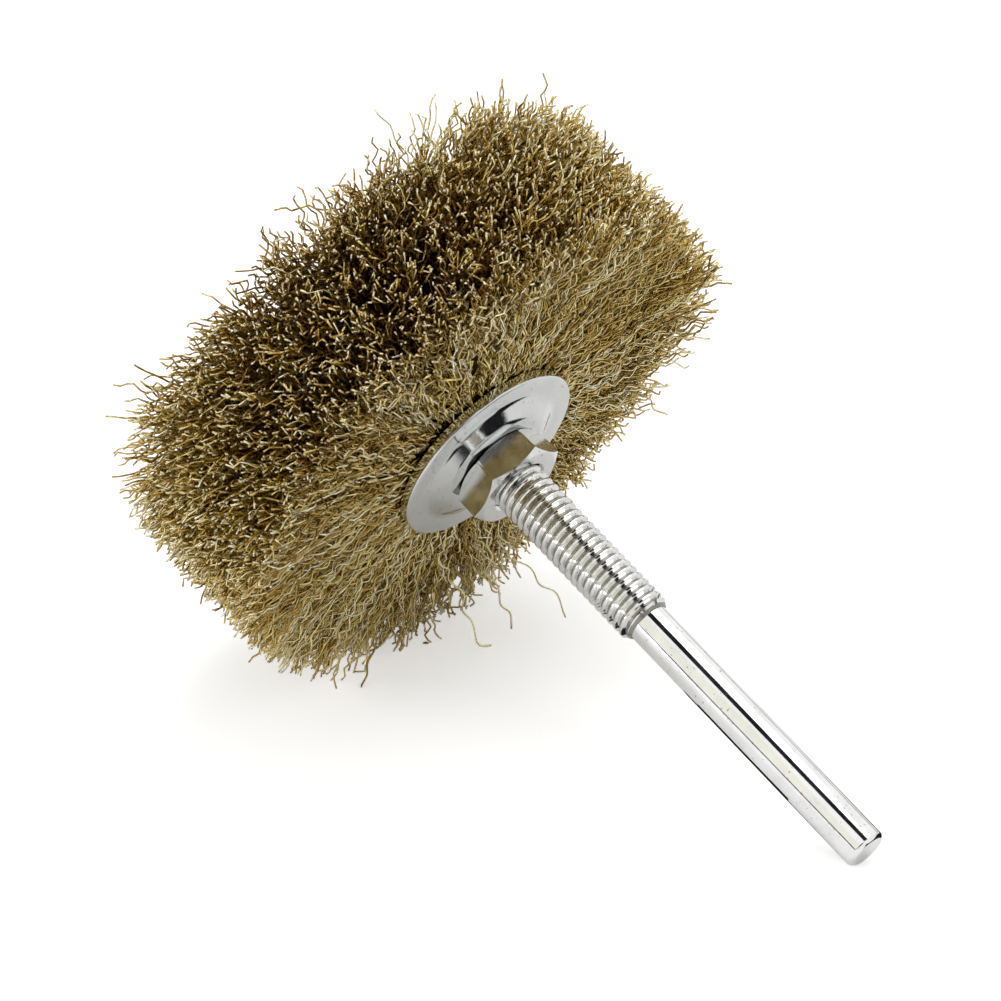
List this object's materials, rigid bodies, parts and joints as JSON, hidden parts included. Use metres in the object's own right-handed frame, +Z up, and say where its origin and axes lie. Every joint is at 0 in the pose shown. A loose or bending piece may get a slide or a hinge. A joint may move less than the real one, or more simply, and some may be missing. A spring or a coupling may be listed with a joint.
{
  "type": "wire drum brush",
  "caption": "Drum-shaped crimped wire brush: rows of brass-coated wire clamped between two pressed plates on a threaded arbor with a plain shank for a drill.",
  "frame": {"origin": "on the table the brush rests on, under the middle of its bounding box", "axes": "+X is the level direction in which the shaft runs from the drum to the shank's tip, +Z is up; the shaft dips from the drum to the tip of the shank, as the brush lies on a table"},
  "size_m": [0.1112, 0.084, 0.0852],
  "materials": {
    "zinc_plate": "polished",
    "zinc_bolt": "polished",
    "zinc_nut": "polished",
    "hub_steel": "satin",
    "brass_wire": "satin"
  },
  "bodies": {
    "arbor": {"arbor_bolt": "zinc_bolt"},
    "drum": {"near_face_plate": "zinc_plate", "far_face_plate": "zinc_plate", "hub_sleeve": "hub_steel", "near_core_ring": "hub_steel", "far_core_ring": "hub_steel", "row_spacer_disc": "hub_steel", "near_wire_row": "brass_wire", "far_wire_row": "brass_wire"},
    "nut": {"clamp_nut": "zinc_nut"}
  },
  "joints": [
    {"name": "drum_slide", "type": "slide", "parent": "arbor", "child": "drum", "axis": [0.8973, 0, -0.4415], "range_m": [0, 0.024]},
    {"name": "nut_turn", "type": "hinge", "parent": "drum", "child": "nut", "pos_m": [-0.01077, 0, 0.03456], "axis": [0.8973, 0, -0.4415], "range_deg": [0, 6913]}
  ],
  "couplings": [
    {"joint": "nut_turn", "follows": "drum_slide", "rad_per_m": 5026.5}
  ]
}
